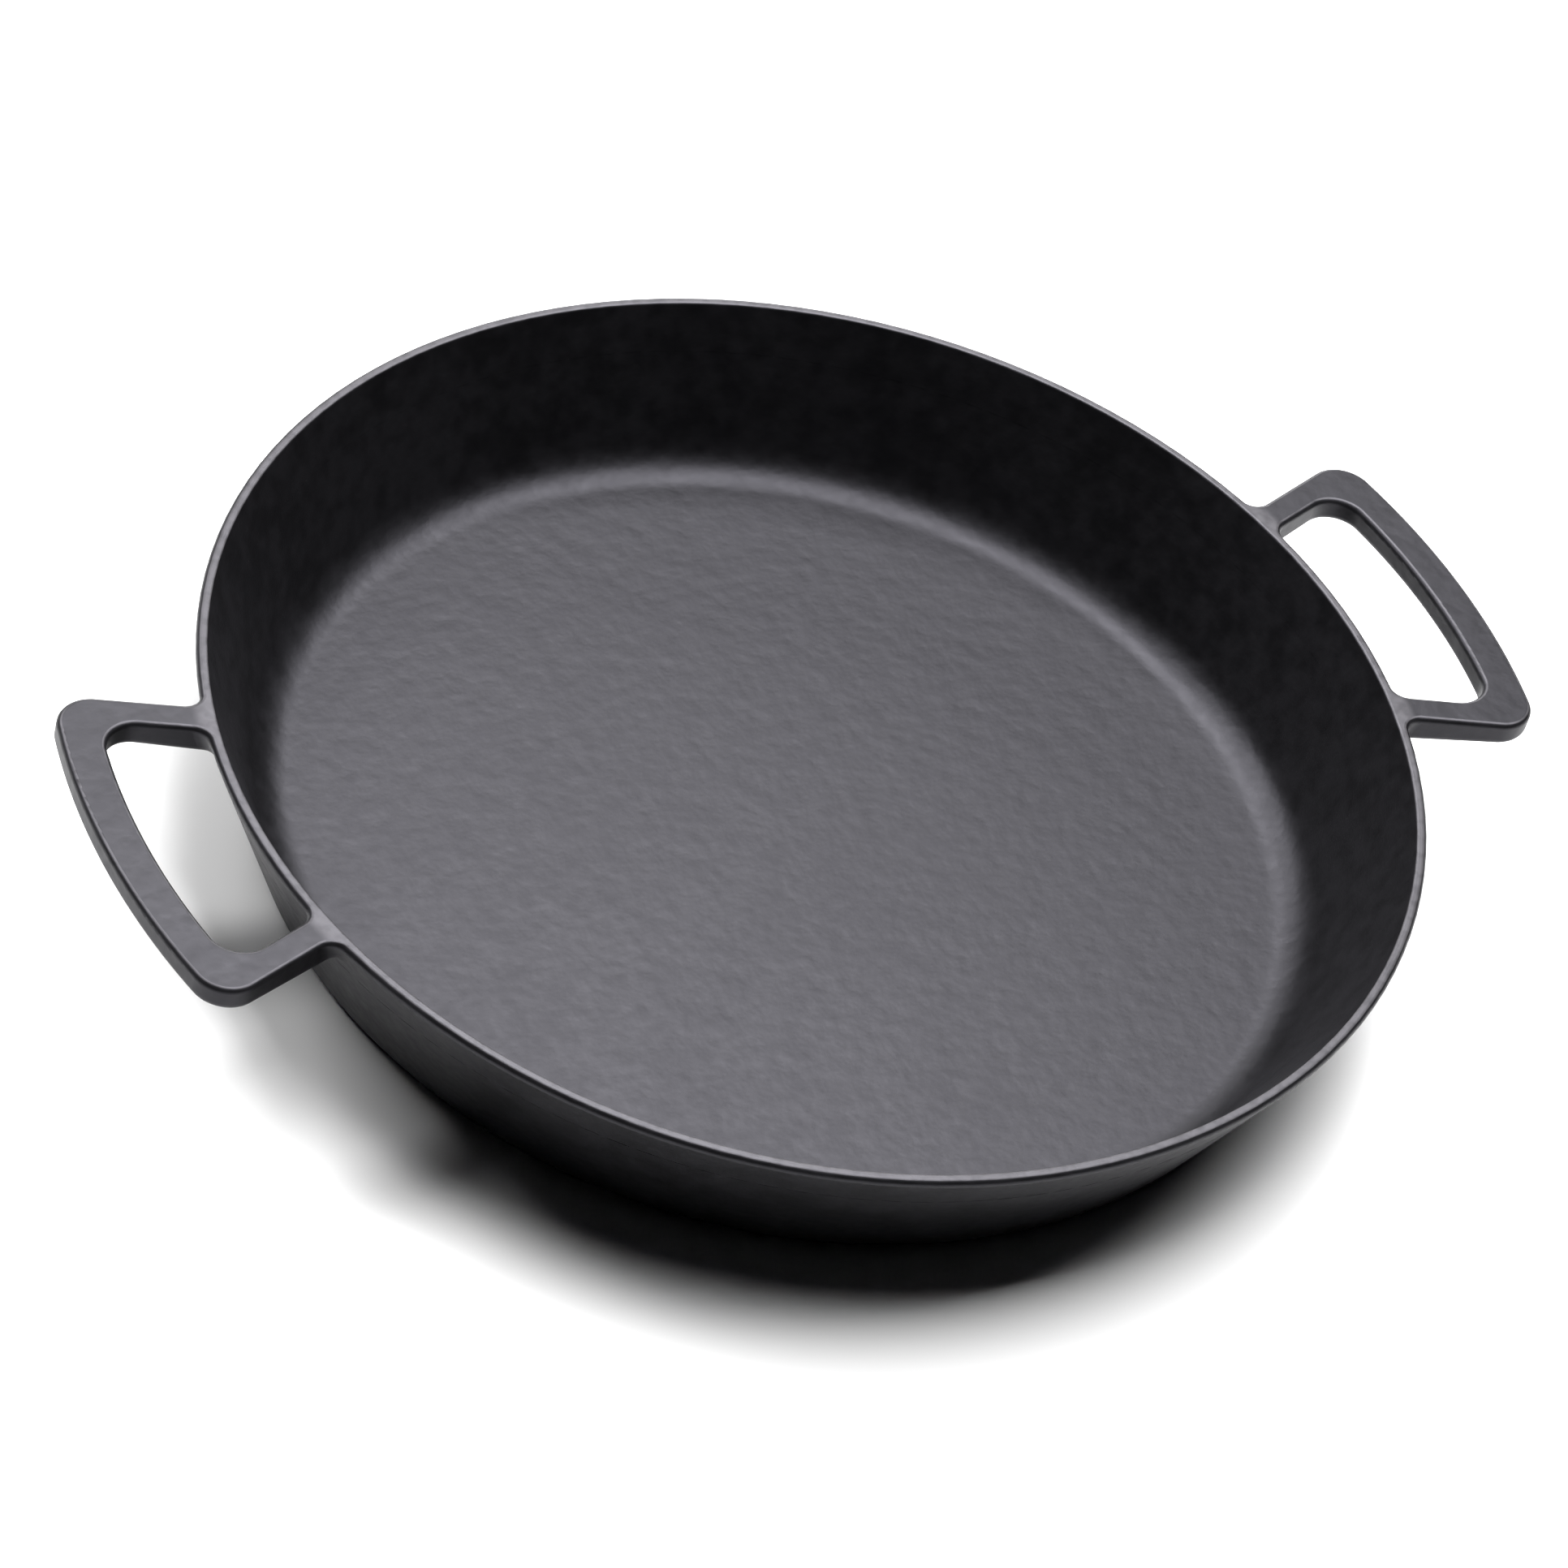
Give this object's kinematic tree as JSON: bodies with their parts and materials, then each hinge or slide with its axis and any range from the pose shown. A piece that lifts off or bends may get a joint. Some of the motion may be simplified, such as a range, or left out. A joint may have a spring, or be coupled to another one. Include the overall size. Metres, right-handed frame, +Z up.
{
  "type": "skillet",
  "caption": "Shallow round cast iron skillet with a flared wall and a flat open loop handle flush with the rim on each side.",
  "frame": {"origin": "centre of the flat underside, on the surface that the pan stands on", "axes": "+Z up, out of the mouth; the handles lie along X, the right one at +X; -Y is the front"},
  "size_m": [0.432, 0.35, 0.052],
  "materials": {
    "cast_iron": "as cast and seasoned, fine grained, dull black, worn slightly brighter on the rim"
  },
  "bodies": {
    "root": {"cooking_floor": "cast_iron", "side_wall": "cast_iron", "rim": "cast_iron", "left_handle_grip": "cast_iron", "left_handle_front_arm": "cast_iron", "left_handle_rear_arm": "cast_iron", "right_handle_grip": "cast_iron", "right_handle_front_arm": "cast_iron", "right_handle_rear_arm": "cast_iron"}
  },
  "joints": []
}
